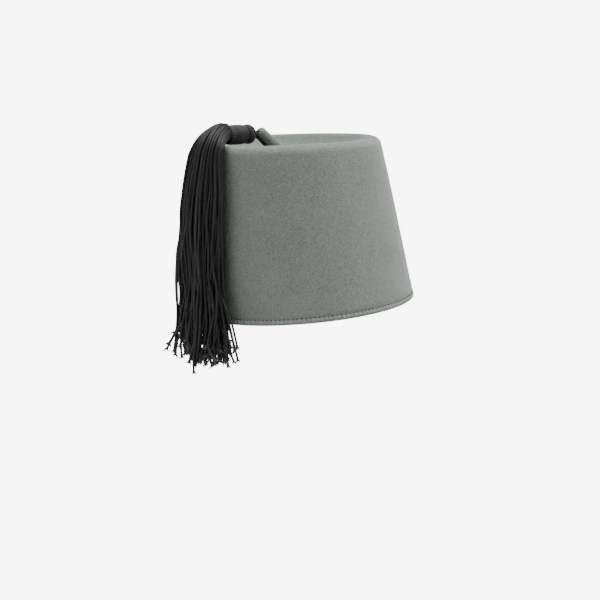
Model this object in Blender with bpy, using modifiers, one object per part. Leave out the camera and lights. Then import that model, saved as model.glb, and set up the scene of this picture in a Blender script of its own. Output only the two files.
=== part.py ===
"""A felt fez with a corded tassel, in metres.

+Z is up along the crown's axis and -Y is the front. The origin is the middle of the
head opening, in the plane of the rim. The tassel hangs on the wearer's right, at -X.
"""

import math

import bmesh
import bpy
from mathutils import Matrix, Vector

# Felt crown: one blocked cone of felt, a long oval at the rim and a rounder one on top.
RIM_LENGTH = 0.203
RIM_WIDTH = 0.176
TOP_LENGTH = 0.171
TOP_WIDTH = 0.155
CROWN_HEIGHT = 0.143
FELT = 0.0022
LIP_RADIUS = 0.008
LIP_RISE_BACK = 0.004
LIP_RISE_RIGHT = 0.0036
TOP_LEAN_BACK = 0.0014
TOP_LEAN_RIGHT = 0.0022

# The dent that the top of the crown is pushed down into.
DENT_DEPTH = 0.017
DENT_SLOPE = math.radians(48)

# Overcast hem round the rim, under a line of stitches that pulls the felt in.
HEM_HEIGHT = 0.0046

# Rolled felt stalk in the middle of the dent.
STALK_DIAMETER = 0.0096
STALK_LENGTH = 0.0384
STALK_SLOPE = math.radians(46)
STALK_TIP_ROUND = 0.0020

# Cord that runs up the stalk's underside and over its tip, and holds the tassel there.
# It leaves the underside at a share of the stalk's length, and cuts the tip's corner.
TIE_DIAMETER = 0.0022
TIE_LEAVES_STALK = 0.94
TIE_CORNER_CUT = 0.35

# Tassel head: cords folded over the tie and bound with thread.
KNOB_DIAMETER = 0.0168
KNOB_LENGTH = 0.0092
KNOB_DOME = 0.55
BINDING_DIAMETER = 0.0162
BINDING_WALL = 0.0012
BINDING_LENGTH = 0.0168
BINDING_EDGE = 0.3
HEAD_ABOVE_LIP = 0.0076

# The tassel lies to the right, turned a little to the front.
TASSEL_TURN = math.radians(5)

# Tassel skirt: cords that drape over the lip and down the side of the crown.
SKIRT_WIDTH = 0.068
SKIRT_DEPTH = 0.030
SKIRT_DROP = 0.029

# Clearances between pieces that lie against each other.
SEAT_GAP = 0.0003
SKIRT_GAP = 0.0008

# Locks round the skirt's heart, in shares: a lock's half thickness of the skirt's, the
# stretch of the skirt that each runs over, and how narrow and how soon its tip is.
LOCK_SIZE = 0.25
LOCK_STARTS = 0.010
LOCK_ENDS = (0.996, 0.975, 0.954, 0.952, 0.970, 0.992, 1.0, 0.985, 0.962, 0.950, 0.961, 0.985)
LOCK_TIP = 0.5
HEART_STARTS = -0.02
HEART_ENDS = 0.93
HEART_TIP = 0.6
TIP_STARTS = 0.92

TURNED_STEPS = 64
HEAD_STEPS = 32
LOCK_SIDES = 8
HEART_SIDES = 16
LOCK_RINGS = 18
RINGS_CROWD_TO_NECK = 1.4

FELT_GREY = (0.205, 0.222, 0.205, 1.0)
CORD_BLACK = (0.012, 0.013, 0.013, 1.0)

# The hem's outline: height as a share of the hem's, set_in as a share of the felt.
HEM_OUTLINE = (
    {"height": 1.45, "set_in": 0.00},
    {"height": 1.00, "set_in": 0.20},
    {"height": 0.72, "set_in": 0.02},
    {"height": 0.30, "set_in": 0.06},
    {"height": 0.00, "set_in": 0.42},
)

# The stalk's round tip: back from its end as a share of the rounding, and radius.
STALK_TIP_OUTLINE = (
    {"back": 1.0, "radius": 1.0},
    {"back": 0.45, "radius": 0.93},
    {"back": 0.12, "radius": 0.76},
    {"back": 0.0, "radius": 0.55},
)

# The knob's side under its dome, down to the groove: shares of its radius and length.
KNOB_SIDE = (
    {"radius": 0.97, "height": 0.15},
    {"radius": 0.90, "height": 0.0},
)

# Sections of the skirt round the lip, by angle above level, and down the wall, by level
# as a share of the crown's height. The rest are shares of half the skirt's width or depth.
SKIRT_ROUND_LIP = (
    {"angle": 96, "wide": 0.38, "deep": 0.60, "aside": -0.05},
    {"angle": 64, "wide": 0.51, "deep": 0.49, "aside": -0.12},
    {"angle": 32, "wide": 0.60, "deep": 0.46, "aside": -0.14},
    {"angle": 4, "wide": 0.65, "deep": 0.48, "aside": -0.08},
)
SKIRT_DOWN_WALL = (
    {"level": 0.76, "wide": 0.78, "deep": 0.66, "aside": 0.05},
    {"level": 0.58, "wide": 0.80, "deep": 0.69, "aside": 0.17},
    {"level": 0.36, "wide": 0.86, "deep": 0.74, "aside": 0.27},
    {"level": 0.10, "wide": 0.96, "deep": 0.90, "aside": 0.35},
)
SKIRT_END_ASIDE = 0.38


def between(low, high, share):
    """The value at a share of the way from low to high."""
    return low + (high - low) * share


# The crown's form, worked out as a turned shape and then blocked to the head's oval.


def half_width(z):
    return between(RIM_WIDTH, TOP_WIDTH, z / CROWN_HEIGHT) / 2


def half_length(z):
    return between(RIM_LENGTH, TOP_LENGTH, z / CROWN_HEIGHT) / 2


def mean_radius(z):
    return (half_width(z) + half_length(z)) / 2


def blocked(x, y, z):
    """Takes a point of the turned crown to its place on the oval, leaning one."""
    share = z / CROWN_HEIGHT
    across = x / mean_radius(z)
    along = y / mean_radius(z)
    return Vector((
        across * half_width(z) - TOP_LEAN_RIGHT * share,
        along * half_length(z) + TOP_LEAN_BACK * share,
        z + share * (LIP_RISE_BACK * along - LIP_RISE_RIGHT * across),
    ))


def wall_slope():
    return math.atan2(mean_radius(0) - mean_radius(CROWN_HEIGHT), CROWN_HEIGHT)


def lip_centre():
    """Radius and height of the middle of the rolled lip, on the turned crown."""
    height = CROWN_HEIGHT - LIP_RADIUS
    return mean_radius(height) - LIP_RADIUS / math.cos(wall_slope()), height


def lip_point(angle):
    radius, height = lip_centre()
    return radius + LIP_RADIUS * math.cos(angle), height + LIP_RADIUS * math.sin(angle)


def dent_floor():
    return CROWN_HEIGHT - DENT_DEPTH


def dent_height(radius):
    """Height of the dent's felt at a radius: flat in the middle, steep by the lip."""
    edge_radius, edge_height = lip_point(math.pi / 2 + DENT_SLOPE)
    climb = edge_height - dent_floor()
    power = math.tan(DENT_SLOPE) * edge_radius / climb
    return dent_floor() + climb * (radius / edge_radius) ** power


def dent_outline(steps=7):
    edge_radius = lip_point(math.pi / 2 + DENT_SLOPE)[0]
    radii = [edge_radius * math.sin(math.pi / 2 * step / steps) for step in range(steps)]
    return [(radius, dent_height(radius)) for radius in radii]


def lip_outline(steps=7):
    """Points over the lip, from the dent's side to the wall's."""
    first = math.pi / 2 + DENT_SLOPE
    last = wall_slope()
    return [lip_point(between(first, last, step / steps)) for step in range(steps + 1)]


def wall_outline(steps=3):
    """Points down the wall and the hem to the rim."""
    top = lip_point(wall_slope())[1]
    hem_top = HEM_OUTLINE[0]["height"] * HEM_HEIGHT
    heights = [between(top, hem_top, step / steps) for step in range(1, steps)]
    points = [(mean_radius(z), z) for z in heights]
    for row in HEM_OUTLINE:
        z = row["height"] * HEM_HEIGHT
        points.append((mean_radius(z) - row["set_in"] * FELT, z))
    return points


# Stalk, tie and tassel head lie in one upright plane through the middle of the dent. A
# place in it is the distance out from there, towards the tassel, and the height.


def tassel_side():
    """Level direction from the middle of the dent to the tassel."""
    return Vector((-math.cos(TASSEL_TURN), -math.sin(TASSEL_TURN), 0))


def in_plane(place, aside=0.0):
    """The point at a place in the tassel's plane, or set aside from it to the back."""
    middle = blocked(0, 0, dent_floor())
    side = tassel_side()
    back = Vector((side.y, -side.x, 0))
    level = Vector((middle.x, middle.y, 0)) + side * place[0] + back * aside
    return level + Vector((0, 0, place[1]))


def stalk_foot():
    """Middle of the stalk's level lower end, just clear of the felt under it."""
    radius = STALK_DIAMETER / 2 / math.sin(STALK_SLOPE)
    turns = [math.pi * step / 8 for step in range(16)]
    felt = [
        blocked(radius * math.cos(turn), radius * math.sin(turn), dent_height(radius)).z
        for turn in turns
    ]
    return Vector((0, max(felt) + SEAT_GAP))


def stalk_along():
    return Vector((math.cos(STALK_SLOPE), math.sin(STALK_SLOPE)))


def stalk_under():
    """Direction square to the stalk, out of its underside."""
    return Vector((math.sin(STALK_SLOPE), -math.cos(STALK_SLOPE)))


def stalk_tip():
    return stalk_foot() + stalk_along() * STALK_LENGTH


def tie_stand_off():
    """From the stalk's surface to the middle of the tie."""
    return SEAT_GAP + TIE_DIAMETER / 2


def tie_bend():
    """Middle of the tie where it turns over the stalk's lower corner."""
    corner = stalk_tip() + stalk_under() * (STALK_DIAMETER / 2)
    return corner + (stalk_along() + stalk_under() * TIE_CORNER_CUT) * tie_stand_off()


def knob_end():
    """Where the knob's round end meets the tie."""
    return tie_bend() + Vector((TIE_DIAMETER / 2 + SEAT_GAP, 0))


def head_length():
    return KNOB_LENGTH + BINDING_LENGTH + 2 * SEAT_GAP


def beside_tassel(radius, height):
    """The place, in the tassel's plane, of a point of the crown's outline."""
    turned_point = tassel_side() * radius
    placed = blocked(turned_point.x, turned_point.y, height)
    out = (placed - blocked(0, 0, dent_floor())).dot(tassel_side())
    return Vector((out, placed.z))


def neck():
    """Where the cords leave the binding: the head's length off, and over the lip."""
    end = knob_end()
    height = beside_tassel(*lip_point(math.pi / 2)).y + HEAD_ABOVE_LIP
    rise = height - end.y
    return end + Vector((math.sqrt(head_length() ** 2 - rise**2), rise))


# The skirt's drape: straight cords are bent along its stations.


def station(middle, wide, deep, aside):
    """Distance out, height, half width, half depth and shift to the back."""
    return (middle.x, middle.y, wide, deep, aside)


def skirt_stations():
    half_wide = SKIRT_WIDTH / 2
    half_deep = SKIRT_DEPTH / 2
    core = BINDING_DIAMETER / 2 - BINDING_WALL - SEAT_GAP
    rows = [station(neck(), core, core, 0.0)]
    centre = beside_tassel(*lip_centre())
    for row in SKIRT_ROUND_LIP:
        deep = row["deep"] * half_deep
        angle = math.radians(row["angle"])
        reach = LIP_RADIUS + SKIRT_GAP + deep
        middle = centre + Vector((math.cos(angle), math.sin(angle))) * reach
        rows.append(station(middle, row["wide"] * half_wide, deep, row["aside"] * half_wide))
    for row in SKIRT_DOWN_WALL:
        level = row["level"] * CROWN_HEIGHT
        deep = row["deep"] * half_deep
        middle = beside_tassel(mean_radius(level), level) + Vector((SKIRT_GAP + deep, 0))
        rows.append(station(middle, row["wide"] * half_wide, deep, row["aside"] * half_wide))
    above, last = rows[-2], rows[-1]
    lean = (last[0] - above[0]) / (above[1] - last[1])
    end = Vector((last[0] + lean * (last[1] + SKIRT_DROP), -SKIRT_DROP))
    rows.append(station(end, half_wide, half_deep, SKIRT_END_ASIDE * half_wide))
    return rows


def smooth_value(shares, values, share):
    """A value between stations, on a cubic curve through them all."""
    slopes = []
    for i in range(len(shares)):
        before, after = max(i - 1, 0), min(i + 1, len(shares) - 1)
        slopes.append((values[after] - values[before]) / (shares[after] - shares[before]))
    if share <= 0:
        return values[0] + slopes[0] * share
    i = max(k for k in range(len(shares) - 1) if shares[k] <= share)
    span = shares[i + 1] - shares[i]
    t = (share - shares[i]) / span
    return (
        (2 * t**3 - 3 * t**2 + 1) * values[i]
        + (t**3 - 2 * t**2 + t) * span * slopes[i]
        + (3 * t**2 - 2 * t**3) * values[i + 1]
        + (t**3 - t**2) * span * slopes[i + 1]
    )


class Drape:
    """Places points of the skirt by share of its length and place in its section."""

    def __init__(self):
        self.rows = skirt_stations()
        runs = [0.0]
        for first, second in zip(self.rows, self.rows[1:]):
            runs.append(runs[-1] + math.dist(first[:2], second[:2]))
        self.shares = [run / runs[-1] for run in runs]

    def read(self, share):
        return [smooth_value(self.shares, column, share) for column in zip(*self.rows)]

    def place(self, share, across, outward):
        """Across and outward run from -1 to 1 over the skirt's oval section."""
        step = 0.004
        out, height, wide, deep, aside = self.read(share)
        before, after = self.read(share - step), self.read(share + step)
        run = Vector((after[0] - before[0], after[1] - before[1])).normalized()
        lift = outward * deep
        return in_plane((out - run.y * lift, height + run.x * lift), aside + across * wide)


# Helpers that make objects and meshes.


def coloured(name, colour, roughness):
    material = bpy.data.materials.new(name)
    material.use_nodes = True
    shader = material.node_tree.nodes["Principled BSDF"]
    shader.inputs["Base Color"].default_value = colour
    shader.inputs["Roughness"].default_value = roughness
    shader.inputs["Metallic"].default_value = 0.0
    return material


def new_object(name, data, collection, material=None):
    thing = bpy.data.objects.new(name, data)
    collection.objects.link(thing)
    if material:
        data.materials.append(material)
    return thing


def finished_mesh(thing, name):
    """The welded mesh that an object's modifiers or curve make; the object goes."""
    bpy.context.view_layer.update()
    graph = bpy.context.evaluated_depsgraph_get()
    mesh = bpy.data.meshes.new_from_object(thing.evaluated_get(graph))
    mesh.transform(thing.matrix_world)
    mesh.name = name
    bm = bmesh.new()
    bm.from_mesh(mesh)
    bmesh.ops.remove_doubles(bm, verts=bm.verts, dist=0.00001)
    bm.to_mesh(mesh)
    bm.free()
    bpy.data.objects.remove(thing)
    return mesh


def turned(name, outline, collection, steps):
    """A shape turned round +Z from an outline of radius and height, top first."""
    mesh = bpy.data.meshes.new(name + "_outline")
    edges = [(i, i + 1) for i in range(len(outline) - 1)]
    mesh.from_pydata([(radius, 0, height) for radius, height in outline], edges, [])
    thing = new_object(name, mesh, collection)
    screw = thing.modifiers.new("turn", "SCREW")
    screw.steps = steps
    screw.render_steps = steps
    screw.use_merge_vertices = True
    screw.merge_threshold = 0.00001
    return finished_mesh(thing, name)


def tube(name, points, diameter, collection, level, radii=None):
    """A round tube along a list of points, with capped ends."""
    curve = bpy.data.curves.new(name + "_route", "CURVE")
    curve.dimensions = "3D"
    curve.bevel_depth = diameter / 2
    curve.bevel_resolution = level
    curve.use_fill_caps = True
    spline = curve.splines.new("POLY")
    spline.points.add(len(points) - 1)
    for i, place in enumerate(points):
        spline.points[i].co = (*place, 1)
        spline.points[i].radius = radii[i] if radii else 1.0
    return finished_mesh(new_object(name, curve, collection), name)


def smooth(mesh, sharp_angle):
    mesh.shade_smooth()
    mesh.set_sharp_from_angle(angle=sharp_angle)


# The pieces.


def make_crown(collection, felt):
    """Blocked felt: an open skin, turned and set to the oval, then given its thickness."""
    outline = dent_outline() + lip_outline() + wall_outline()
    mesh = turned("crown", outline, collection, TURNED_STEPS)
    for vertex in mesh.vertices:
        vertex.co = blocked(*vertex.co)
    smooth(mesh, math.radians(60))
    crown = new_object("crown", mesh, collection, felt)
    wall = crown.modifiers.new("felt", "SOLIDIFY")
    wall.thickness = FELT
    wall.offset = -1
    wall.use_even_offset = True


def make_stalk(collection, felt):
    """Rolled felt, cut level where it stands in the dent, and rounded at the tip."""
    foot, tip = stalk_foot(), stalk_tip()
    places = [foot, foot.lerp(tip, 0.5)]
    radii = [1.0] * len(places)
    for row in STALK_TIP_OUTLINE:
        places.append(tip - stalk_along() * STALK_TIP_ROUND * row["back"])
        radii.append(row["radius"])
    points = [in_plane(place) for place in places]
    mesh = tube("stalk", points, STALK_DIAMETER, collection, 4, radii)
    along = in_plane(tip) - in_plane(foot)
    for vertex in mesh.vertices:
        if (vertex.co - in_plane(foot)).dot(along) < along.length_squared * 0.1:
            vertex.co += along * (foot.y - vertex.co.z) / along.z
    smooth(mesh, math.radians(60))
    new_object("stalk", mesh, collection, felt)


def make_tie(collection, cord):
    """Cord up the stalk's underside, over its lower corner, to the middle of its tip."""
    off = stalk_under() * (STALK_DIAMETER / 2 + tie_stand_off())
    clear_of_felt = (STALK_DIAMETER / 2 + 2 * tie_stand_off()) / math.tan(STALK_SLOPE)
    start = stalk_foot() + stalk_along() * clear_of_felt
    places = [start + off, start.lerp(stalk_tip(), TIE_LEAVES_STALK) + off]
    middle = stalk_tip() + stalk_along() * tie_stand_off()
    corner = tie_bend()
    places.append(corner)
    places.append(corner.lerp(middle, 0.5))
    places.append(middle)
    points = [in_plane(place) for place in places]
    mesh = tube("tie_cord", points, TIE_DIAMETER, collection, 2)
    smooth(mesh, math.radians(60))
    new_object("tie_cord", mesh, collection, cord)


def head_frame():
    """Sets a turned piece's +Z to run from the neck back to the knob's end."""
    foot = in_plane(neck())
    axis = in_plane(knob_end()) - foot
    return Matrix.Translation(foot) @ axis.to_track_quat("Z", "Y").to_matrix().to_4x4()


def head_outline(rounding=5):
    """Outline of the knob, and of the core that the binding is wound on, top first."""
    knob = KNOB_DIAMETER / 2
    core = BINDING_DIAMETER / 2 - BINDING_WALL - SEAT_GAP
    foot = BINDING_LENGTH + 2 * SEAT_GAP
    dome = KNOB_LENGTH * KNOB_DOME
    points = []
    for step in range(rounding + 1):
        angle = math.pi / 2 * (1 - step / rounding)
        points.append((
            knob * math.cos(angle),
            foot + KNOB_LENGTH - dome + dome * math.sin(angle),
        ))
    for row in KNOB_SIDE:
        points.append((knob * row["radius"], foot + KNOB_LENGTH * row["height"]))
    points.append((core, foot))
    points.append((core, 0.0))
    points.append((0.0, 0.0))
    return points


def binding_outline():
    """Outline of the wound thread: a sleeve with softened outer edges."""
    outer = BINDING_DIAMETER / 2
    inner = outer - BINDING_WALL
    low, high = SEAT_GAP, SEAT_GAP + BINDING_LENGTH
    edge = BINDING_WALL * BINDING_EDGE
    return [
        (inner, high),
        (outer - edge, high),
        (outer, high - edge),
        (outer, low + edge),
        (outer - edge, low),
        (inner, low),
        (inner, high),
    ]


def make_binding(collection, cord):
    mesh = turned("tassel_binding", binding_outline(), collection, HEAD_STEPS)
    mesh.transform(head_frame())
    smooth(mesh, math.radians(40))
    new_object("tassel_binding", mesh, collection, cord)


def lock_mesh(drape, middle, size, first, last, sides, tip_size):
    """A lock of cords: a straight rod, cut into rings along its length, then draped."""
    bm = bmesh.new()
    bmesh.ops.create_cone(
        bm, cap_ends=True, segments=sides, radius1=1, radius2=1, depth=1,
        matrix=Matrix.Translation((0, 0, 0.5)))
    upright = [e for e in bm.edges if abs(e.verts[0].co.z - e.verts[1].co.z) > 0.5]
    bmesh.ops.subdivide_edges(bm, edges=upright, cuts=LOCK_RINGS, use_grid_fill=True)
    for vertex in bm.verts:
        share = vertex.co.z
        tip = max(0.0, (share - TIP_STARTS) / (1 - TIP_STARTS))
        narrow = size * between(1.0, tip_size, tip)
        across = middle[0] + vertex.co.x * narrow
        outward = middle[1] + vertex.co.y * narrow
        along = between(first, last, share**RINGS_CROWD_TO_NECK)
        vertex.co = drape.place(along, across, outward)
    bmesh.ops.recalc_face_normals(bm, faces=bm.faces)
    mesh = bpy.data.meshes.new("lock")
    bm.to_mesh(mesh)
    bm.free()
    return mesh


def make_tassel(collection, cutters, cord):
    """Knob and bound core, with the skirt's heart and outer locks fused to them."""
    head = turned("tassel", head_outline(), collection, HEAD_STEPS)
    head.transform(head_frame())
    tassel = new_object("tassel", head, collection, cord)
    drape = Drape()
    ring = 1 - LOCK_SIZE
    locks = [lock_mesh(
        drape, (0, 0), ring, HEART_STARTS, HEART_ENDS, HEART_SIDES, HEART_TIP)]
    for i, end in enumerate(LOCK_ENDS):
        angle = 2 * math.pi * (i + 0.5) / len(LOCK_ENDS)
        middle = (ring * math.cos(angle), ring * math.sin(angle))
        locks.append(lock_mesh(
            drape, middle, LOCK_SIZE, LOCK_STARTS, end, LOCK_SIDES, LOCK_TIP))
    helpers = bpy.data.collections.new("tassel_locks")
    cutters.children.link(helpers)
    for i, mesh in enumerate(locks):
        lock = new_object(f"tassel_lock_{i}", mesh, helpers)
        lock.hide_render = True
        lock.display_type = "WIRE"
    union = tassel.modifiers.new("join", "BOOLEAN")
    union.operation = "UNION"
    union.operand_type = "COLLECTION"
    union.collection = helpers
    union.solver = "EXACT"
    weld = tassel.modifiers.new("weld", "WELD")
    weld.merge_threshold = 0.00001


def build():
    for thing in list(bpy.data.objects):
        bpy.data.objects.remove(thing)
    fez = bpy.data.collections.new("fez")
    cutters = bpy.data.collections.new("fez_cutters")
    bpy.context.scene.collection.children.link(fez)
    bpy.context.scene.collection.children.link(cutters)
    felt = coloured("grey_felt", FELT_GREY, 0.95)
    cord = coloured("black_cord", CORD_BLACK, 0.55)
    make_crown(fez, felt)
    make_stalk(fez, felt)
    make_tie(fez, cord)
    make_binding(fez, cord)
    make_tassel(fez, cutters, cord)


build()
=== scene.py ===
"""Dresses the felt fez and its corded tassel over the CAD frame, for a studio picture."""

import math
import random

import bpy
from mathutils import Matrix, Vector


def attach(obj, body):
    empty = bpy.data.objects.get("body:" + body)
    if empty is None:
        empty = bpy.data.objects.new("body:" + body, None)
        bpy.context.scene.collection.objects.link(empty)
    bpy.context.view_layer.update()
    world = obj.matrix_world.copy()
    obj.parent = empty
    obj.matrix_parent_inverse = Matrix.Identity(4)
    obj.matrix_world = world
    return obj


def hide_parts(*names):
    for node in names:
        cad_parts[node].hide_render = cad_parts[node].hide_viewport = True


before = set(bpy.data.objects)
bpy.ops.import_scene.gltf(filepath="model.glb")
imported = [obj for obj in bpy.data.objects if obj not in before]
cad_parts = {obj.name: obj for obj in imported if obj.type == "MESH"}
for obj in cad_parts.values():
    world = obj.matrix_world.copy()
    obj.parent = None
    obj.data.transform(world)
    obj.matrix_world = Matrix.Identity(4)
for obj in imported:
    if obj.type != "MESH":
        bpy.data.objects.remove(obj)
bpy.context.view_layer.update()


# Crown. One cone of grey wool felt, steamed and pulled over an oval block. Its flat top is
# pushed down into a dent, which leaves the lip round. The felt is 2.2 mm thick, and its
# nap is brushed, so that it looks mottled and has a faint bloom where it turns away.

CROWN_HEIGHT = 0.143
RIM_HALF_WIDTH, RIM_HALF_LENGTH = 0.088, 0.1015
TOP_HALF_WIDTH, TOP_HALF_LENGTH = 0.0775, 0.0855
FELT_THICKNESS = 0.0022
LIP_MIDDLE, LIP_HEIGHT, LIP_RADIUS = 0.0742, 0.135, 0.008
LIP_RISE_BACK, LIP_RISE_RIGHT = 0.0040, 0.0036
LEAN_BACK, LEAN_RIGHT = 0.0014, 0.0022
WALL_LEAN, LIP_TURNS_IN = math.radians(5.3), math.radians(138)
DENT_FLOOR, DENT_LEVELS_OUT = 0.126, 5.3
# The edge that the hem covers: how far out from the wall's line, and how high.
SEWN_EDGE = ((-0.0016, 0.0004), (-0.0007, 0.0030), (-0.0007, 0.0046), (-0.0001, 0.0058))
WALL_ROW = 0.0092
CROWN_COLUMNS, WALL_ROWS, LIP_ROWS, DENT_ROWS = 192, 14, 17, 20
STEAMED_PATCH, STEAMED_DEPTH = 0.055, 0.0011
FELT_DARK = (0.073, 0.083, 0.073, 1)
FELT_LIGHT = (0.174, 0.192, 0.172, 1)
NAP_CONTRAST, NAP_LEVEL, MOTTLING_DEPTH = 1.7, -1.2, 0.26
SPECK_CELLS, SPECKLESS, SPECK_SIZE, SPECK_SHADE = 62.0, 0.80, 0.034, 0.28


def block_at(height):
    """Half width and half length of the oval block at a height."""
    share = height / CROWN_HEIGHT
    return (
        RIM_HALF_WIDTH + (TOP_HALF_WIDTH - RIM_HALF_WIDTH) * share,
        RIM_HALF_LENGTH + (TOP_HALF_LENGTH - RIM_HALF_LENGTH) * share,
    )


def round_at(height):
    """Radius of the round cone that is pulled over the block, at a height."""
    return sum(block_at(height)) / 2


def on_block(place):
    """Where a place on the round cone comes to lie when it is pulled over the block."""
    share = place.z / CROWN_HEIGHT
    half_width, half_length = block_at(place.z)
    across = place.x / round_at(place.z)
    along = place.y / round_at(place.z)
    return Vector((
        across * half_width - LEAN_RIGHT * share,
        along * half_length + LEAN_BACK * share,
        place.z + share * (LIP_RISE_BACK * along - LIP_RISE_RIGHT * across),
    ))


def turn_up(name, columns, outline):
    """A round shape, raised row by row from its first radius and height."""
    bpy.ops.object.select_all(action="DESELECT")
    radius, height = outline[0]
    bpy.ops.mesh.primitive_circle_add(vertices=columns, radius=radius, location=(0, 0, height))
    piece = bpy.context.object
    piece.name = name
    bpy.ops.object.transform_apply(location=True, rotation=True, scale=True)
    bpy.ops.object.mode_set(mode="EDIT")
    bpy.ops.mesh.select_all(action="SELECT")
    for (radius, height), (next_radius, next_height) in zip(outline, outline[1:]):
        rise = next_height - height
        bpy.ops.mesh.extrude_region_move(TRANSFORM_OT_translate={"value": (0, 0, rise)})
        size = next_radius / radius
        bpy.ops.transform.resize(value=(size, size, 1), center_override=(0, 0, next_height))
    bpy.ops.object.mode_set(mode="OBJECT")
    return piece


def apply_modifiers(piece):
    """Applies all of a piece's modifiers, in their order."""
    bpy.context.view_layer.objects.active = piece
    for modifier in list(piece.modifiers):
        bpy.ops.object.modifier_apply(modifier=modifier.name)


def clean_faces(piece, smooth_angle=60):
    """Merges doubles, turns all faces outwards and shades them smooth."""
    bpy.ops.object.select_all(action="DESELECT")
    piece.select_set(True)
    bpy.context.view_layer.objects.active = piece
    bpy.ops.object.mode_set(mode="EDIT")
    bpy.ops.mesh.select_all(action="SELECT")
    bpy.ops.mesh.remove_doubles(threshold=0.00001)
    bpy.ops.mesh.normals_make_consistent(inside=False)
    bpy.ops.object.mode_set(mode="OBJECT")
    bpy.ops.object.shade_smooth_by_angle(angle=math.radians(smooth_angle))


def add_node(tree, kind, feeds=None, **settings):
    """Adds a node, with its settings, and values or sockets fed to its inputs."""
    made = tree.nodes.new(kind)
    for name, value in settings.items():
        setattr(made, name, value)
    for name, value in (feeds or {}).items():
        if isinstance(value, bpy.types.NodeSocket):
            tree.links.new(value, made.inputs[name])
        else:
            made.inputs[name].default_value = value
    return made


def start_material(name, **shader_values):
    """A material with its tree, its shader and the piece's own coordinates."""
    material = bpy.data.materials.new(name)
    material.use_nodes = True
    tree = material.node_tree
    shader = tree.nodes["Principled BSDF"]
    for socket, value in shader_values.items():
        shader.inputs[socket.replace("_", " ")].default_value = value
    return material, tree, shader, add_node(tree, "ShaderNodeTexCoord")


def mix_colours(tree, share, first, second):
    """A colour between two: a mix node takes them at sockets 6 and 7 and gives it at 2."""
    mix = add_node(
        tree, "ShaderNodeMix", {"Factor": share, 6: first, 7: second}, data_type="RGBA")
    return mix.outputs[2]


def make_nap_group():
    """Brushed wool: clumps of fibre, grain, broad mottling, and a speck in one cell of five."""
    group = bpy.data.node_groups.new("wool_nap", "ShaderNodeTree")
    face = group.interface
    face.new_socket("Vector", in_out="INPUT", socket_type="NodeSocketVector")
    for name, value in (("Clumps", 820.0), ("Grain", 1900.0), ("Mottling", 38.0)):
        socket = face.new_socket(name, in_out="INPUT", socket_type="NodeSocketFloat")
        socket.default_value = value
    face.new_socket("Tint", in_out="OUTPUT", socket_type="NodeSocketFloat")
    face.new_socket("Speck", in_out="OUTPUT", socket_type="NodeSocketFloat")
    face.new_socket("Height", in_out="OUTPUT", socket_type="NodeSocketFloat")
    taken = group.nodes.new("NodeGroupInput").outputs
    clumps = add_node(group, "ShaderNodeTexNoise", {
        "Vector": taken["Vector"], "Scale": taken["Clumps"], "Detail": 3.0,
        "Roughness": 0.6, "Distortion": 0.3})
    grain = add_node(group, "ShaderNodeTexNoise", {
        "Vector": taken["Vector"], "Scale": taken["Grain"], "Detail": 3.0,
        "Roughness": 0.7, "Distortion": 0.4})
    mottling = add_node(group, "ShaderNodeTexNoise", {
        "Vector": taken["Vector"], "Scale": taken["Mottling"], "Detail": 3.0,
        "Roughness": 0.55})
    fine = add_node(group, "ShaderNodeMath", {0: clumps.outputs[0], 1: grain.outputs[0]},
                    operation="ADD")
    deeper = add_node(group, "ShaderNodeMath", {
        0: fine.outputs[0], 1: NAP_CONTRAST, 2: NAP_LEVEL}, operation="MULTIPLY_ADD")
    broad = add_node(group, "ShaderNodeMath", {
        0: mottling.outputs[0], 1: MOTTLING_DEPTH, 2: -MOTTLING_DEPTH / 2},
        operation="MULTIPLY_ADD")
    tint = add_node(group, "ShaderNodeMath", {0: deeper.outputs[0], 1: broad.outputs[0]},
                    operation="ADD", use_clamp=True)
    cells = add_node(group, "ShaderNodeTexVoronoi", {
        "Vector": taken["Vector"], "Scale": SPECK_CELLS, "Randomness": 1.0})
    chosen = add_node(group, "ShaderNodeSeparateColor", {0: cells.outputs["Color"]})
    reach = add_node(group, "ShaderNodeMapRange", {
        "Value": chosen.outputs[0], "From Min": SPECKLESS, "From Max": 1.0,
        "To Min": 0.0, "To Max": SPECK_SIZE})
    speck = add_node(group, "ShaderNodeMath", {
        0: cells.outputs["Distance"], 1: reach.outputs[0]}, operation="LESS_THAN")
    given = group.nodes.new("NodeGroupOutput")
    group.links.new(tint.outputs[0], given.inputs["Tint"])
    group.links.new(speck.outputs[0], given.inputs["Speck"])
    group.links.new(fine.outputs[0], given.inputs["Height"])
    return group


wool_nap = make_nap_group()


def make_felt(name, dark, light, bump):
    """Matt brushed felt between two greys, with dark specks and a raised nap."""
    material, tree, shader, place = start_material(
        name, Roughness=0.94, Sheen_Weight=0.32, Sheen_Roughness=0.42,
        Sheen_Tint=(0.80, 0.84, 0.80, 1), Specular_IOR_Level=0.18)
    nap = add_node(
        tree, "ShaderNodeGroup", {"Vector": place.outputs["Object"]}, node_tree=wool_nap)
    colour = mix_colours(tree, nap.outputs["Tint"], dark, light)
    speck = tuple(level * SPECK_SHADE for level in dark[:3]) + (1,)
    flecked = mix_colours(tree, nap.outputs["Speck"], colour, speck)
    tree.links.new(flecked, shader.inputs["Base Color"])
    raised = add_node(tree, "ShaderNodeBump", {
        "Height": nap.outputs["Height"], "Strength": bump, "Distance": 0.0004})
    tree.links.new(raised.outputs[0], shader.inputs["Normal"])
    return material


def finish_piece(piece, material, slot, *nodes):
    """Gives a finished piece its material, and has it ride and stand for its nodes."""
    piece.data.materials.clear()
    piece.data.materials.append(material)
    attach(piece, "root")
    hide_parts(*nodes)


felt = make_felt("brushed_grey_felt", FELT_DARK, FELT_LIGHT, 0.55)

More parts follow.
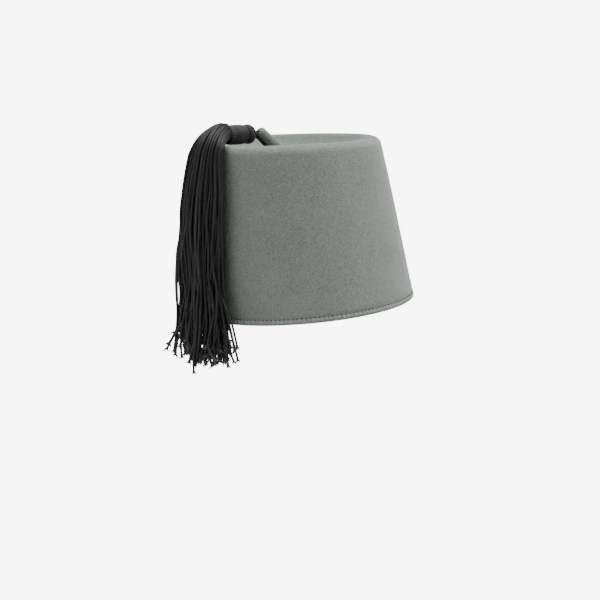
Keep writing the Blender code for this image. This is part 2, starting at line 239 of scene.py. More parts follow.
crown_outline = [(round_at(height) + out, height) for out, height in SEWN_EDGE]
crown_outline += [(round_at(row * WALL_ROW), row * WALL_ROW) for row in range(1, WALL_ROWS + 1)]
for row in range(LIP_ROWS + 1):
    angle = WALL_LEAN + (LIP_TURNS_IN - WALL_LEAN) * row / LIP_ROWS
    crown_outline.append((
        LIP_MIDDLE + LIP_RADIUS * math.cos(angle), LIP_HEIGHT + LIP_RADIUS * math.sin(angle)))
dent_edge, dent_top = crown_outline[-1]
for row in range(1, DENT_ROWS):
    out = math.cos(math.pi / 2 * row / DENT_ROWS)
    crown_outline.append((
        dent_edge * out, DENT_FLOOR + (dent_top - DENT_FLOOR) * out ** DENT_LEVELS_OUT))
crown = turn_up("crown_felt", CROWN_COLUMNS, crown_outline)
bpy.ops.object.mode_set(mode="EDIT")
bpy.ops.mesh.extrude_region_move()
bpy.ops.mesh.merge(type="CENTER")
bpy.ops.object.mode_set(mode="OBJECT")
for point in crown.data.vertices:
    point.co = on_block(point.co)
clean_faces(crown)
steam = bpy.data.textures.new("steamed_unevenly", "CLOUDS")
steam.noise_scale = STEAMED_PATCH
uneven = crown.modifiers.new("uneven", "DISPLACE")
uneven.texture = steam
uneven.strength = STEAMED_DEPTH
uneven.mid_level = 0.5
wall = crown.modifiers.new("felt", "SOLIDIFY")
wall.thickness = FELT_THICKNESS
wall.offset = -1
wall.use_even_offset = True
apply_modifiers(crown)
finish_piece(crown, felt, "grey_felt", "crown")


# Hem. The felt's cut edge is overcast all round with wool thread. It shows as one row of
# short dark stitches 5 mm up and one where the edge turns under, and it pulls the felt in
# from row to row, so the felt stands out between as low puffs.

PUFFS = 160
COLUMNS_EACH = 6
# From inside, under the edge and up the outside: how far out from the wall, and how high.
HEM_OUTLINE = (
    (-0.00330, 0.0052), (-0.00325, 0.0036), (-0.00330, 0.0022), (-0.00285, 0.0008),
    (-0.00190, 0.0001), (-0.00095, 0.0003), (-0.00020, 0.0011), (0.00010, 0.0022),
    (0.00012, 0.0033), (-0.00008, 0.0042), (-0.00050, 0.0048), (-0.00085, 0.0053),
)
# Points that lie further in than this from the wall's line stay where they are.
HEM_OUTSIDE = 0.0020
# The thread's pulls: the share of its size that a ring is left with, the columns of each puff
# that it takes, and from and to what height.
HEM_PULLS = (
    (0.9955, (0,), 0.0015, 0.0045), (0.9915, (0,), 0.0045, 0.0050),
    (0.9885, (0,), -0.0001, 0.0015), (0.9975, (1, 5), -0.0001, 0.0015),
    (0.9980, (1, 5), 0.0040, 0.0050), (1.0010, (3,), 0.0010, 0.0045),
)
OVERCAST_LENGTH, OVERCAST_THICKNESS, OVERCAST_SINKS = 0.0046, 0.00062, 0.0007
OVERCAST_HEIGHT, OVERCAST_PROUD = 0.0026, -0.00040
OVERCAST_SLANT = math.radians(84)
STITCH_LENGTH, STITCH_THICKNESS, STITCH_SINKS = 0.0019, 0.0010, 0.0004
# The two dark rows: how high, and how far out from the wall.
STITCH_ROWS = ((0.0051, -0.00035), (0.0010, -0.00080))
# The hem's felt is the crown's felt painted lighter, as a painted highlight on the puffs.
puff_felt_painted_lighter = make_felt(
    "sewn_hem_felt_painted_lighter", (0.096, 0.109, 0.097, 1), (0.202, 0.222, 0.201, 1), 0.5)


def edit_points(piece, wanted):
    """Opens a piece in edit mode with only the points selected that the test picks."""
    bpy.context.view_layer.objects.active = piece
    bpy.ops.object.mode_set(mode="EDIT")
    bpy.ops.mesh.select_mode(type="VERT")
    bpy.ops.mesh.select_all(action="DESELECT")
    bpy.ops.object.mode_set(mode="OBJECT")
    for point in piece.data.vertices:
        point.select = wanted(point.co)
    bpy.ops.object.mode_set(mode="EDIT")


def hem_column(place):
    """Which column of its puff a place is in; column 0 lies under the thread."""
    turn = math.atan2(place.y, place.x) / (2 * math.pi) * PUFFS * COLUMNS_EACH
    return round(turn) % COLUMNS_EACH


hem = turn_up("hem_puffs", PUFFS * COLUMNS_EACH, [
    (round_at(height) + out, height) for out, height in HEM_OUTLINE])
for pull, columns, low, high in HEM_PULLS:
    edit_points(hem, lambda place: (
        hem_column(place) in columns and low < place.z <= high
        and place.to_2d().length > round_at(place.z) - HEM_OUTSIDE))
    bpy.ops.transform.resize(value=(pull, pull, 1), center_override=(0, 0, 0))
    bpy.ops.object.mode_set(mode="OBJECT")
for point in hem.data.vertices:
    point.co = on_block(point.co)
clean_faces(hem, 80)
finish_piece(hem, puff_felt_painted_lighter, "grey_felt", "crown")


def on_wall(turn, height, proud):
    """A frame on the outside of the wall: X along the rim, Y out of the felt, Z up."""
    radius = round_at(height) + proud
    spot = on_block(Vector((radius * math.cos(turn), radius * math.sin(turn), height)))
    half_width, half_length = block_at(height)
    out = Vector((math.cos(turn) / half_width, math.sin(turn) / half_length, 0)).normalized()
    along = Vector((out.y, -out.x, 0))
    return Matrix.Translation(spot) @ Matrix((along, out, Vector((0, 0, 1)))).transposed().to_4x4()


def make_short_thread(name, length, thickness, sink):
    """A short thread along X, whose narrowing ends sink in, towards -Y."""
    bpy.ops.object.select_all(action="DESELECT")
    bpy.ops.mesh.primitive_cylinder_add(
        vertices=6, radius=thickness / 2, depth=length, end_fill_type="NGON",
        rotation=(0, math.pi / 2, 0))
    thread = bpy.context.object
    thread.name = name
    bpy.ops.object.transform_apply(location=False, rotation=True, scale=False)
    bpy.ops.object.mode_set(mode="EDIT")
    shoulder = 0.3
    for share in (-shoulder, 0.0, shoulder):
        bpy.ops.mesh.select_all(action="SELECT")
        bpy.ops.mesh.bisect(plane_co=(length * share, 0, 0), plane_no=(1, 0, 0))
    for share, narrow in ((0.5, 0.45), (shoulder, 0.9), (-shoulder, 0.9), (-0.5, 0.45)):
        edit_points(thread, lambda place: abs(place.x - length * share) < length * 0.01)
        bpy.ops.transform.resize(
            value=(1, narrow, narrow), center_override=(length * share, 0, 0))
        bpy.ops.transform.translate(value=(0, -sink * (2 * share) ** 2, 0))
    bpy.ops.object.mode_set(mode="OBJECT")
    return thread


def copy_and_join(piece, name, frames):
    """Copies a piece, with its own mesh, to each frame, and joins the copies."""
    bpy.ops.object.select_all(action="DESELECT")
    for place in frames:
        twin = piece.copy()
        twin.data = piece.data.copy()
        twin.data.transform(place)
        bpy.context.collection.objects.link(twin)
        twin.select_set(True)
    bpy.context.view_layer.objects.active = twin
    bpy.data.objects.remove(piece)
    bpy.ops.object.join()
    joined = bpy.context.object
    joined.name = name
    bpy.ops.object.shade_smooth()
    return joined


def make_thread_material(name, dark, light, scale):
    """Spun thread between two shades, with fibre of that scale."""
    material, tree, shader, place = start_material(
        name, Roughness=0.72, Sheen_Weight=0.12, Sheen_Roughness=0.4, Specular_IOR_Level=0.3)
    fuzz = add_node(tree, "ShaderNodeTexNoise", {
        "Vector": place.outputs["Object"], "Scale": scale, "Detail": 4.0})
    colour = mix_colours(tree, fuzz.outputs[0], dark, light)
    tree.links.new(colour, shader.inputs["Base Color"])
    raised = add_node(tree, "ShaderNodeBump", {
        "Height": fuzz.outputs[0], "Strength": 0.5, "Distance": 0.0002})
    tree.links.new(raised.outputs[0], shader.inputs["Normal"])
    return material


grey_thread = make_thread_material(
    "grey_wool_thread", (0.100, 0.112, 0.101, 1), (0.190, 0.207, 0.190, 1), 2500.0)
dark_thread = make_thread_material(
    "dark_grey_thread", (0.028, 0.032, 0.029, 1), (0.066, 0.073, 0.067, 1), 2500.0)
puff_turns = [2 * math.pi * number / PUFFS for number in range(PUFFS)]
upright = Matrix.Rotation(OVERCAST_SLANT, 4, "Y")
one_overcast = make_short_thread(
    "overcast", OVERCAST_LENGTH, OVERCAST_THICKNESS, OVERCAST_SINKS)
overcast = copy_and_join(one_overcast, "hem_overcast", [
    on_wall(turn, OVERCAST_HEIGHT, OVERCAST_PROUD) @ upright for turn in puff_turns])
finish_piece(overcast, grey_thread, "grey_felt", "crown")
one_stitch = make_short_thread("stitch", STITCH_LENGTH, STITCH_THICKNESS, STITCH_SINKS)
stitches = copy_and_join(one_stitch, "hem_stitches", [
    on_wall(turn, height, proud) for turn in puff_turns for height, proud in STITCH_ROWS])
finish_piece(stitches, dark_thread, "grey_felt", "crown")


# Stalk. A strip of the same felt, rolled up tight round itself and sewn, that stands in the
# middle of the dent and leans to the tassel's side. It is wider at its foot, where it is
# pulled out flat, and its trimmed tip shows the roll's spiral.

STALK_FOOT = Vector((-0.00194, 0.00123, 0.1262))
TASSEL_TURN = math.radians(5)
STALK_SLOPE = math.radians(46)
STALK_RADIUS, STALK_LENGTH = 0.0048, 0.0390
# From turn to turn the roll grows by its thickness, of which this share is felt. Its last
# half turn stays outside, and the strip starts at a small open core.
ROLL_THICKNESS, ROLL_TURNS, FELT_SHARE = 0.00180, 2.4, 0.93
OUTSIDE_TURNS, CORE_RADIUS = 0.55, 0.0008
ROLL_STARTS, ROLL_STEPS, EDGE_STEPS = math.radians(70), 120, 6
ROUNDING = 0.0003
TIP_DOME, DOME_SHAPE = 0.0028, 2.5
FOOT_FLARE, FLARE_ASIDE = 0.8, 0.25

to_tassel = Vector((-math.cos(TASSEL_TURN), -math.sin(TASSEL_TURN), 0))
to_back = Vector((-math.sin(TASSEL_TURN), math.cos(TASSEL_TURN), 0))
upward = Vector((0, 0, 1))
stalk_along = to_tassel * math.cos(STALK_SLOPE) + upward * math.sin(STALK_SLOPE)
stalk_over = upward * math.cos(STALK_SLOPE) - to_tassel * math.sin(STALK_SLOPE)
stalk_frame = Matrix.Translation(STALK_FOOT) @ Matrix(
    (to_back, stalk_over, stalk_along)).transposed().to_4x4()


def start_curve(name, thickness, level):
    """A curve object that is filled out to a round cord of that thickness."""
    line = bpy.data.curves.new(name, "CURVE")
    line.dimensions = "3D"
    line.bevel_depth = thickness / 2
    line.bevel_resolution = level
    line.use_fill_caps = True
    thing = bpy.data.objects.new(name, line)
    bpy.context.collection.objects.link(thing)
    return thing


def add_line(thing, places, sizes=None):
    """Adds a run of points to a curve; sizes are shares of its thickness."""
    spline = thing.data.splines.new("POLY")
    spline.points.add(len(places) - 1)
    for number, place in enumerate(places):
        spline.points[number].co = (*place, 1)
        spline.points[number].radius = sizes[number] if sizes else 1.0


def made_mesh(thing):
    """Turns a curve into a mesh piece, shaded smooth."""
    bpy.ops.object.select_all(action="DESELECT")
    thing.select_set(True)
    bpy.context.view_layer.objects.active = thing
    bpy.ops.object.convert(target="MESH")
    bpy.ops.object.shade_smooth()
    return bpy.context.object


outer_side, inner_side = [], []
for step in range(ROLL_STEPS + 1):
    turned = step / ROLL_STEPS * ROLL_TURNS
    angle = ROLL_STARTS - 2 * math.pi * turned
    outside = STALK_RADIUS - ROLL_THICKNESS * max(0.0, turned - OUTSIDE_TURNS)
    outside = max(outside, CORE_RADIUS)
    to_edge = min(1.0, (step + 1) / EDGE_STEPS, (ROLL_STEPS + 1 - step) / EDGE_STEPS)
    thickness = ROLL_THICKNESS * FELT_SHARE * math.sqrt(1 - (1 - to_edge) ** 2)
    inside = max(outside - thickness, CORE_RADIUS / 4)
    outer_side.append((outside * math.cos(angle), outside * math.sin(angle), 0))
    inner_side.append((inside * math.cos(angle), inside * math.sin(angle), 0))
roll = start_curve("stalk_roll", ROUNDING * 2, 2)
roll.data.dimensions = "2D"
roll.data.fill_mode = "BOTH"
roll.data.offset = -ROUNDING
roll.data.extrude = STALK_LENGTH / 2 - ROUNDING
add_line(roll, outer_side[1:-1] + inner_side[:0:-1])
roll.data.splines[0].use_cyclic_u = True
stalk = made_mesh(roll)
stalk.data.transform(Matrix.Translation((0, 0, STALK_LENGTH / 2)))
for point in stalk.data.vertices:
    if point.co.z > STALK_LENGTH / 2:
        point.co.z -= TIP_DOME * (point.co.to_2d().length / STALK_RADIUS) ** DOME_SHAPE
    to_foot = 1 - point.co.z / STALK_LENGTH
    point.co.x *= 1 + FOOT_FLARE * FLARE_ASIDE * to_foot
    point.co.y *= 1 + (FOOT_FLARE * to_foot if point.co.y > 0 else 0)
    if to_foot > 0.5:
        point.co.z -= point.co.y / math.tan(STALK_SLOPE)
stalk.data.transform(stalk_frame)
clean_faces(stalk, 50)
finish_piece(stalk, felt, "grey_felt", "stalk")


# Tie. Two black cords, sewn up through the stalk's underside, cross on its tip and hold
# the tassel's knob hard against it.

KNOB_END = STALK_FOOT + to_tassel * 0.03285 + upward * 0.0254
TIE_THICKNESS, UNDER_STALK, LINK_IN_KNOB = 0.0018, 0.0006, 0.003
# Up the stalk's underside: how far along, and how far to its side.
TIE_UP_STALK = (
    (0.0075, 0.0002), (0.0130, 0.0004), (0.0190, 0.0008), (0.0250, 0.0011),
    (0.0310, 0.0012), (0.0355, 0.0012),
)
# Over the tip and down into the roll: how far over the axis, along, and to its side.
TIE_OVER_TIP = (
    (-STALK_RADIUS + 0.0001, 0.0372, 0.0013),
    (-STALK_RADIUS + 0.0010, STALK_LENGTH - 0.0009, 0.0009),
    (-0.0028, STALK_LENGTH - 0.0002, 0.0001),
    (-0.0015, STALK_LENGTH - 0.0002, -0.0010),
    (-0.0006, STALK_LENGTH - 0.0012, -0.0018),
    (-0.0002, STALK_LENGTH - 0.0040, -0.0020),
)
CORD_DARK = (0.0040, 0.0044, 0.0043, 1)
CORD_LIGHT = (0.0098, 0.0106, 0.0104, 1)


def make_cord_material(name, dark, light, gloss, plies_along):
    """Smooth twisted cord: a slant of ply ridges, with fine fibre and uneven dye. The ridges also
    go into its colour, as painted shade in the grooves and painted highlight on the crests.
    """
    material, tree, shader, place = start_material(
        name, Roughness=gloss, Sheen_Weight=0.02, Sheen_Roughness=0.35, Specular_IOR_Level=0.24)
    fibre = add_node(tree, "ShaderNodeTexNoise", {
        "Vector": place.outputs["Object"], "Scale": 900.0, "Detail": 4.0, "Roughness": 0.6})
    around = add_node(tree, "ShaderNodeSeparateXYZ", {0: place.outputs["UV"]})
    twist = add_node(tree, "ShaderNodeMath", {
        0: around.outputs["Y"], 1: plies_along, 2: around.outputs["X"]},
        operation="MULTIPLY_ADD")
    turned = add_node(tree, "ShaderNodeMath", {0: twist.outputs[0], 1: 2 * math.pi},
                      operation="MULTIPLY")
    ridge = add_node(tree, "ShaderNodeMath", {0: turned.outputs[0]}, operation="SINE")
    # The ply ridges feed the colour as well as the bump: painted shade in the grooves, painted
    # highlight on the crests.
    ply_relief_and_shade = add_node(tree, "ShaderNodeMath", {
        0: ridge.outputs[0], 1: 0.10, 2: fibre.outputs[0]}, operation="MULTIPLY_ADD")
    dye = add_node(tree, "ShaderNodeTexNoise", {
        "Vector": place.outputs["Object"], "Scale": 60.0, "Detail": 2.0})
    groove_shade_and_dye = add_node(tree, "ShaderNodeMath", {
        0: ply_relief_and_shade.outputs[0], 1: dye.outputs[0]}, operation="MULTIPLY")
    spread = add_node(tree, "ShaderNodeMapRange", {
        "Value": groove_shade_and_dye.outputs[0], "From Min": 0.08, "From Max": 0.42})
    colour = mix_colours(tree, spread.outputs[0], dark, light)
    tree.links.new(colour, shader.inputs["Base Color"])
    raised = add_node(tree, "ShaderNodeBump", {
        "Height": ply_relief_and_shade.outputs[0], "Strength": 0.22, "Distance": 0.00012})
    tree.links.new(raised.outputs[0], shader.inputs["Normal"])
    return material


black_cord = make_cord_material("black_cord", CORD_DARK, CORD_LIGHT, 0.54, 120.0)


def in_stalk(over, along, aside):
    """A place by the stalk: over its axis, along it from the foot, and to its side."""
    return stalk_frame @ Vector((aside, over, along))


tie = start_curve("tie_cords", TIE_THICKNESS, 2)
for side in (-1, 1):
    places = [in_stalk(-STALK_RADIUS - UNDER_STALK, along, side * aside)
              for along, aside in TIE_UP_STALK]
    places += [in_stalk(over, along, side * aside) for over, along, aside in TIE_OVER_TIP]
    add_line(tie, places)
link_start = in_stalk(-STALK_RADIUS + 0.0014, STALK_LENGTH - 0.0010, 0)
link_end = KNOB_END + to_tassel * LINK_IN_KNOB
link = [link_start] + [link_start.lerp(link_end, share) for share in (0.35, 0.7, 1.0)]
add_line(tie, link, [1.2, 1.3, 1.3, 1.0])
tie = made_mesh(tie)
finish_piece(tie, black_cord, "black_cord", "tie_cord")


# Tassel cords. A hank of smooth black cords is folded over the tie, which makes the knob,
# and bound under it. The ends then fall over the lip and hang down past the rim, loose and
# wavy, and each cord's cut end has frayed open.

NECK = STALK_FOOT + to_tassel * 0.0594 + upward * 0.0274
CORD_THICKNESS, FRAY_THICKNESS = 0.0020, 0.0014
# Over the knob and under the binding: how far from the knob's end, how far out from the
# axis, and the share of its thickness that a cord is pressed to.
HEAD_SECTIONS = (
    (-0.0003, 0.0007, 0.30), (0.0002, 0.0028, 0.46), (0.0012, 0.0048, 0.74),
    (0.0026, 0.0062, 0.90), (0.0046, 0.0071, 0.98), (0.0066, 0.0072, 0.98),
    (0.0082, 0.0068, 0.90), (0.0092, 0.0060, 0.78), (0.0100, 0.0053, 0.66),
    (0.0160, 0.0056, 0.62), (0.0230, 0.0057, 0.66),
)
# Down the skirt: out from the stalk's foot, height, half width, half depth, shift to the back.
SKIRT_SECTIONS = (
    (0.0594, 0.1536, 0.0066, 0.0066, 0.0000),
    (0.0668, 0.1565, 0.0124, 0.0086, -0.0014),
    (0.0777, 0.1523, 0.0173, 0.0074, -0.0041),
    (0.0840, 0.1461, 0.0204, 0.0069, -0.0048),
    (0.0866, 0.1389, 0.0221, 0.0072, -0.0027),
    (0.0905, 0.1111, 0.0265, 0.0099, 0.0017),
    (0.0925, 0.0848, 0.0272, 0.0104, 0.0058),
    (0.0951, 0.0527, 0.0292, 0.0111, 0.0092),
    (0.0997, 0.0146, 0.0302, 0.0132, 0.0095),
    (0.1050, -0.0290, 0.0296, 0.0142, 0.0090),
)


def measured_runs(sections):
    """How far down the skirt each section lies, measured along its middle."""
    runs = [0.0]
    for first, second in zip(sections, sections[1:]):
        runs.append(runs[-1] + math.dist(first[:2], second[:2]))
    return runs


SKIRT_RUNS = measured_runs(SKIRT_SECTIONS)


def skirt_at(run):
    """The skirt's section that far down, on a smooth curve through the sections."""
    last = len(SKIRT_RUNS) - 2
    step = max(index for index in range(last + 1) if SKIRT_RUNS[index] <= max(run, 0.0))
    span = SKIRT_RUNS[step + 1] - SKIRT_RUNS[step]
    t = (run - SKIRT_RUNS[step]) / span
    values = []
    for column in zip(*SKIRT_SECTIONS):
        slopes = []
        for index in (step, step + 1):
            before, after = max(index - 1, 0), min(index + 1, last + 1)
            rise = column[after] - column[before]
            slopes.append(rise / (SKIRT_RUNS[after] - SKIRT_RUNS[before]) * span)
        if t > 1:
            values.append(column[step + 1] + slopes[1] * (t - 1))
            continue
        values.append(
            (2 * t ** 3 - 3 * t ** 2 + 1) * column[step] + (t ** 3 - 2 * t ** 2 + t) * slopes[0]
            + (3 * t ** 2 - 2 * t ** 3) * column[step + 1] + (t ** 3 - t ** 2) * slopes[1])
    return values


def in_skirt(run, across, outward):
    """A place in the skirt: across is to the back, outward away from the felt, as shares."""
    out, height, half_width, half_depth, shift = skirt_at(run)
    little = 0.001
    before, after = skirt_at(run - little), skirt_at(run + little)
    run_on = Vector((after[0] - before[0], after[1] - before[1])).normalized()
    lift = outward * half_depth
    return (
        Vector((STALK_FOOT.x, STALK_FOOT.y, 0)) + to_tassel * (out - run_on.y * lift)
        + upward * (height + run_on.x * lift) + to_back * (shift + across * half_width))


head_axis = (NECK - KNOB_END).normalized()
head_over = (upward - head_axis * upward.dot(head_axis)).normalized()


def in_head(far, radius, angle):
    """A place in the knob or under the binding, measured from the knob's end."""
    return KNOB_END + head_axis * far + (
        to_back * math.cos(angle) + head_over * math.sin(angle)) * radius


chance = random.Random(41)
skirt_length = SKIRT_RUNS[-1]
ANY_TURN = (0, 6.28)
WAVE_SIZES, WAVE_LENGTHS = (0.4, 1.0), (0.045, 0.110)
WAVE_GROWS_OVER, WAVE_GROWTH = 0.15, 1.3


def wander(strength):
    """A slow sideways wave, of two that cross, that grows down the skirt."""
    waves = [
        (chance.uniform(*WAVE_SIZES), chance.uniform(*WAVE_LENGTHS), chance.uniform(*ANY_TURN))
        for _ in range(2)]

    def sideways(run):
        grown = min(1.0, run / WAVE_GROWS_OVER) ** WAVE_GROWTH
        return strength * grown * sum(
            size * math.sin(2 * math.pi * run / length + start) for size, length, start in waves)
    return sideways


FRAY_STRANDS, FRAY_LENGTHS, FRAY_FLARES = (4, 5, 6), (0.0022, 0.0036), (0.45, 0.95)
FRAY_STARTS_BACK, FRAY_RING = 0.0008, 0.0004


def fray(ends, place, along):
    """The short strands that flare out of a cord's cut end."""
    side = along.orthogonal().normalized()
    turn = chance.uniform(*ANY_TURN)
    count = chance.choice(FRAY_STRANDS)
    for number in range(count):
        angle = turn + 2 * math.pi * number / count + chance.uniform(-0.4, 0.4)
        out = Matrix.Rotation(angle, 3, along) @ side
        long = chance.uniform(*FRAY_LENGTHS)
        flare = chance.uniform(*FRAY_FLARES)
        add_line(ends, [
            place - along * FRAY_STARTS_BACK + out * FRAY_RING,
            place + along * long * 0.45 + out * long * 0.25,
            place + along * long + out * long * flare], [1.0, 1.0, 0.8])


CLUMPS, CLUMPS_TURNED, CLUMPS_TWIST = 9, 1.3, 14
CLUMP_DEPTH, CLUMPS_START = 0.08, 0.03
SWAY, SWAY_PACE, SWAY_LAG, SWAY_STARTS = 0.085, 62, 2.2, 0.12


def clumped(angle, run):
    """How far out a cord is pushed by the clumps that the cords gather in."""
    grown = min(1.0, run / CLUMPS_START)
    wave = math.sin(CLUMPS * angle + CLUMPS_TURNED + CLUMPS_TWIST * run)
    return 1 + CLUMP_DEPTH * wave * grown


def swayed(angle, run):
    """The slow sideways wave that neighbouring cords share."""
    grown = min(1.0, run / SWAY_STARTS)
    return SWAY * math.sin(SWAY_PACE * run + SWAY_LAG * math.sin(angle)) * grown


# A cord of the inner layers starts inside the binding, pressed thin, and every cord swells
# where it comes out. Its steps crowd towards the arch. Down the skirt the hank opens, and its
# ends fling apart and flick aside, a little past the skirt's own outline.
INNER_STARTS, INNER_RADIUS, INNER_SHARE = (0.018, 0.023), 0.0057, 0.62
SKIRT_SHARE, SKIRT_SWELL, SWELLS_OVER = 0.68, 0.34, 0.018
CORD_STEPS, STEPS_CROWD = 64, 1.3
SIDE_WAVE, DEPTH_WAVE = 0.075, 0.09
SKIRT_OPENS, OPENS_OVER = 0.15, 0.12
PAST_EDGE, PAST_FACE = 0.05, 0.25
LOOSE_END, FLING = 0.045, 0.5
FLICK, FLICK_LIFT, FLICKED_ENDS, FLICK_BEND = 0.0042, 0.5, (0.012, 0.030), 1.7


def lay_cord(cords, ends, angle, reach, over_knob, spread, length):
    """Lays one cord: over the knob if it lies outside, through the binding, down the skirt."""
    places, sizes = [], []
    if over_knob:
        for far, radius, size in HEAD_SECTIONS:
            places.append(in_head(far, radius, angle))
            sizes.append(size)
    else:
        for far in INNER_STARTS:
            places.append(in_head(far, INNER_RADIUS * reach, angle))
            sizes.append(INNER_SHARE)
    side_wave, depth_wave = wander(SIDE_WAVE), wander(DEPTH_WAVE)
    flick = chance.gauss(0, FLICK)
    flick_from = length - chance.uniform(*FLICKED_ENDS)
    for step in range(1, CORD_STEPS + 1):
        run = length * (step / CORD_STEPS) ** STEPS_CROWD
        half_width, half_depth = skirt_at(run)[2:4]
        opened = 1 - (1 - reach) * (1 - SKIRT_OPENS * min(1.0, run / OPENS_OVER))
        opened *= clumped(angle, run)
        loose = max(0.0, run - length + LOOSE_END) / LOOSE_END
        flung = 1 + FLING * spread * loose ** 2
        across = math.cos(angle) * opened * flung + side_wave(run) + swayed(angle, run)
        across = max(-1.0, min(across, 1 + PAST_EDGE))
        outward = math.sin(angle) * opened * flung + depth_wave(run)
        widest = 1 - CORD_THICKNESS / 2 / half_width
        deepest = 1 - CORD_THICKNESS / 2 / half_depth
        outward = max(-deepest, min(outward, deepest + PAST_FACE))
        bent = max(0.0, run - flick_from) / (length - flick_from)
        flicked = (to_back * flick + upward * abs(flick) * FLICK_LIFT) * bent ** FLICK_BEND
        places.append(in_skirt(run, across * widest, outward * deepest) + flicked)
        sizes.append(SKIRT_SHARE + SKIRT_SWELL * min(1.0, run / SWELLS_OVER))
    add_line(cords, places, sizes)
    fray(ends, places[-1], (places[-1] - places[-2]).normalized())


outer_cords = start_curve("outer_cords", CORD_THICKNESS, 2)
inner_cords = start_curve("inner_cords", CORD_THICKNESS, 1)
frayed_ends = start_curve("frayed_ends", FRAY_THICKNESS, 0)
OUTER_COUNT, OUTER_REACH = 28, (0.88, 1.0)
# The layers inside: how many cords, and how far out from the middle.
INNER_LAYERS = ((30, 0.78), (26, 0.60), (18, 0.40), (10, 0.20))
LONGEST, LIKELIEST, LESS_AT_BACK = 1.015, 0.985, 0.045
# Cords that leave the skirt: the angle, where along itself a cord leaves, its length as a
# share of the skirt's, how far to the back and outwards its end lies, and how late it bends.
STRAYS = (
    (0.30, 0.50, 0.975, 0.0085, 0.0000, 0.8), (0.60, 0.58, 0.955, 0.0060, 0.0010, 0.8),
    (0.10, 0.86, 0.925, 0.0115, 0.0060, 1.4), (0.45, 0.88, 0.945, 0.0080, 0.0060, 1.4),
    (3.35, 0.80, 0.930, -0.0110, 0.0010, 1.3), (3.60, 0.82, 0.975, -0.0080, -0.0030, 1.3),
    (3.05, 0.80, 0.985, -0.0120, 0.0020, 1.3), (3.85, 0.84, 0.945, -0.0060, 0.0040, 1.3),
    (3.20, 0.78, 0.915, -0.0145, -0.0010, 1.3), (1.90, 0.80, 1.020, 0.0010, 0.0010, 1.3),
)
STRAY_STEPS, STRAY_REACH, STRAY_WAVE, STRAY_SWELLS_BY = 45, 0.95, 0.04, 5


def cord_length(angle, shortest):
    """A cord's length; those at the back of the skirt are a little shorter."""
    back = max(0.0, math.cos(angle)) ** 2
    return skirt_length * (
        chance.triangular(shortest, LONGEST, LIKELIEST) - LESS_AT_BACK * back)


for number in range(OUTER_COUNT):
    angle = 2 * math.pi * (number + chance.uniform(-0.12, 0.12)) / OUTER_COUNT
    lay_cord(outer_cords, frayed_ends, angle, chance.uniform(*OUTER_REACH), True,
             chance.uniform(-0.10, 0.10), cord_length(angle, 0.92))
for layer, (count, reach) in enumerate(INNER_LAYERS):
    cords = outer_cords if layer == 0 else inner_cords
    for number in range(count):
        angle = 2 * math.pi * (number + 0.5 * layer + chance.uniform(0.2, 0.8)) / count
        lay_cord(cords, frayed_ends, angle, reach * chance.uniform(0.92, 1.08), False,
                 chance.uniform(0.0, 0.20), cord_length(angle, 0.89))
for angle, leaves, share, to_side, outwards, bend in STRAYS:
    places, sizes = [], []
    stray_wave = wander(STRAY_WAVE)
    length = skirt_length * share
    for step in range(STRAY_STEPS + 1):
        run = length * step / STRAY_STEPS
        away = max(0.0, (run / length - leaves) / (1 - leaves)) ** bend
        across = STRAY_REACH * math.cos(angle) + stray_wave(run) + swayed(angle, run)
        spot = in_skirt(run, across, STRAY_REACH * math.sin(angle))
        places.append(spot + to_back * to_side * away + to_tassel * outwards * away)
        sizes.append(SKIRT_SHARE + SKIRT_SWELL * min(1.0, step / STRAY_SWELLS_BY))
    add_line(outer_cords, places, sizes)
    fray(frayed_ends, places[-1], (places[-1] - places[-2]).normalized())
frayed_fibre = make_thread_material(
    "frayed_black_fibre", (0.012, 0.013, 0.013, 1), (0.032, 0.034, 0.034, 1), 1500.0)
for piece in (outer_cords, inner_cords):
    finish_piece(made_mesh(piece), black_cord, "black_cord", "tassel")
finish_piece(made_mesh(frayed_ends), frayed_fibre, "black_cord", "tassel")


# Binding. Black sewing thread, wound close round the hank under the knob in one layer, and
# finished off under itself.

BINDING_START, BINDING_END = 0.0101, 0.0268
BINDING_RADIUS, BINDING_SWELL, SWELL_SHAPE = 0.0071, 0.0009, 0.4
THREAD_THICKNESS, THREAD_SPACING = 0.00056, 0.96
STEPS_A_TURN = 28

windings = int((BINDING_END - BINDING_START) / (THREAD_THICKNESS * THREAD_SPACING))
wound = []
for step in range(windings * STEPS_A_TURN + 1):
    turned = step / STEPS_A_TURN
    far = BINDING_START + (BINDING_END - BINDING_START) * turned / windings
    swell = math.sin(math.pi * turned / windings) ** SWELL_SHAPE * BINDING_SWELL
    wound.append(in_head(far, BINDING_RADIUS + swell, 2 * math.pi * turned))
binding = start_curve("binding_thread", THREAD_THICKNESS, 1)
add_line(binding, wound)
binding = made_mesh(binding)
sewing_thread = make_thread_material(
    "black_sewing_thread", (0.0085, 0.0090, 0.0092, 1), (0.026, 0.027, 0.028, 1), 1800.0)
finish_piece(binding, sewing_thread, "black_thread", "tassel_binding")


# Studio. A pale paper floor that sweeps up gently all round, under soft light from overhead,
# a large soft lamp high up to the right of the camera and a weaker one to its left.

FLOOR, FLOOR_MIDDLE, FLOOR_RADIUS = -0.25, 0.05, 1.2
SWEEP_RADIUS, SWEEP_RISE, SWEEP_ROWS, SWEEP_COLUMNS = 9, math.radians(34), 24, 128
PAPER_DARK, PAPER_LIGHT = (0.40, 0.40, 0.395, 1), (0.43, 0.43, 0.425, 1)
PAPER_GLOW, SKY_GLOW, SKY_LIGHT = 6.5, 5.5, 0.06
FOCAL_PIXELS, PICTURE_PIXELS, SENSOR_WIDTH = 1322.493, 600, 36
CAMERA_PLACE = (-0.624285, -0.942573, 0.199670)

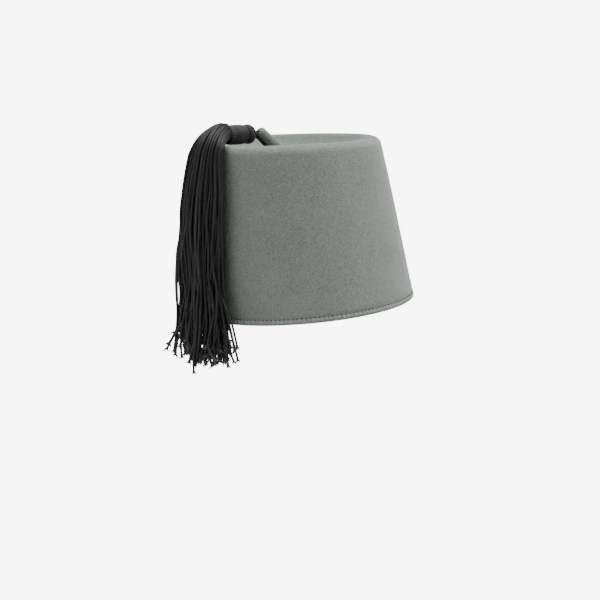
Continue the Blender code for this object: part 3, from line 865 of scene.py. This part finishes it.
sweep_outline = [(FLOOR_MIDDLE, FLOOR), (FLOOR_RADIUS, FLOOR)]
for row in range(1, SWEEP_ROWS + 1):
    angle = SWEEP_RISE * row / SWEEP_ROWS
    sweep_outline.append((
        FLOOR_RADIUS + SWEEP_RADIUS * math.sin(angle),
        FLOOR + SWEEP_RADIUS * (1 - math.cos(angle))))
sweep = turn_up("studio_sweep", SWEEP_COLUMNS, sweep_outline)
edit_points(sweep, lambda place: place.to_2d().length < 2 * FLOOR_MIDDLE)
bpy.ops.mesh.edge_face_add()
bpy.ops.mesh.select_all(action="SELECT")
bpy.ops.mesh.normals_make_consistent(inside=True)
bpy.ops.object.mode_set(mode="OBJECT")
bpy.ops.object.shade_smooth()
paper, paper_tree, paper_shader, paper_place = start_material(
    "pale_paper", Roughness=0.9, Specular_IOR_Level=0.1)
tooth = add_node(paper_tree, "ShaderNodeTexNoise", {
    "Vector": paper_place.outputs["Object"], "Scale": 3.0, "Detail": 2.0})
paper_colour = mix_colours(paper_tree, tooth.outputs[0], PAPER_DARK, PAPER_LIGHT)
paper_tree.links.new(paper_colour, paper_shader.inputs["Base Color"])
seen = add_node(paper_tree, "ShaderNodeLightPath")
glow = mix_colours(
    paper_tree, seen.outputs["Is Camera Ray"], (0, 0, 0, 1), (1, 1, 0.99, 1))
paper_tree.links.new(glow, paper_shader.inputs["Emission Color"])
paper_shader.inputs["Emission Strength"].default_value = PAPER_GLOW
sweep.data.materials.append(paper)

world = bpy.context.scene.world or bpy.data.worlds.new("soft_sky")
bpy.context.scene.world = world
world.use_nodes = True
sky = world.node_tree.nodes["Background"]
sky.inputs["Color"].default_value = (1.0, 1.0, 1.0, 1)
looked_at = add_node(world.node_tree, "ShaderNodeLightPath")
brightness = add_node(world.node_tree, "ShaderNodeMath", {
    0: looked_at.outputs["Is Camera Ray"], 1: SKY_GLOW, 2: SKY_LIGHT}, operation="MULTIPLY_ADD")
world.node_tree.links.new(brightness.outputs[0], sky.inputs["Strength"])

# The ways that the camera's right, top and back face, fitted to the hat's outline.
camera_right = Vector((0.81998527, -0.56110691, -0.11306283))
camera_up = Vector((0.18892756, 0.07886152, 0.97881931))
camera_back = Vector((-0.54030597, -0.82397810, 0.17067384))


def add_sun(name, comes_from, softness, strength):
    """A far, soft lamp; its softness is the angle that it fills, in degrees."""
    lamp = bpy.data.lights.new(name, "SUN")
    lamp.angle = math.radians(softness)
    lamp.energy = strength
    thing = bpy.data.objects.new(name, lamp)
    bpy.context.collection.objects.link(thing)
    thing.matrix_world = (-comes_from).to_track_quat("-Z", "Y").to_matrix().to_4x4()


add_sun("overhead_light", Vector((0.05, 0.0, 1)), 60, 7.2)
add_sun("left_light", Vector((-0.90, -0.42, 0.90)), 50, 1.05)
add_sun("right_light", camera_right * 0.95 + camera_up * 0.85 + camera_back * 0.15, 35, 3.4)

camera = bpy.data.objects.new("camera", bpy.data.cameras.new("camera"))
bpy.context.collection.objects.link(camera)
camera.data.sensor_width = SENSOR_WIDTH
camera.data.lens = FOCAL_PIXELS * SENSOR_WIDTH / PICTURE_PIXELS
standing = Matrix((camera_right, camera_up, camera_back)).transposed().to_4x4()
camera.matrix_world = Matrix.Translation(CAMERA_PLACE) @ standing
bpy.context.scene.camera = camera
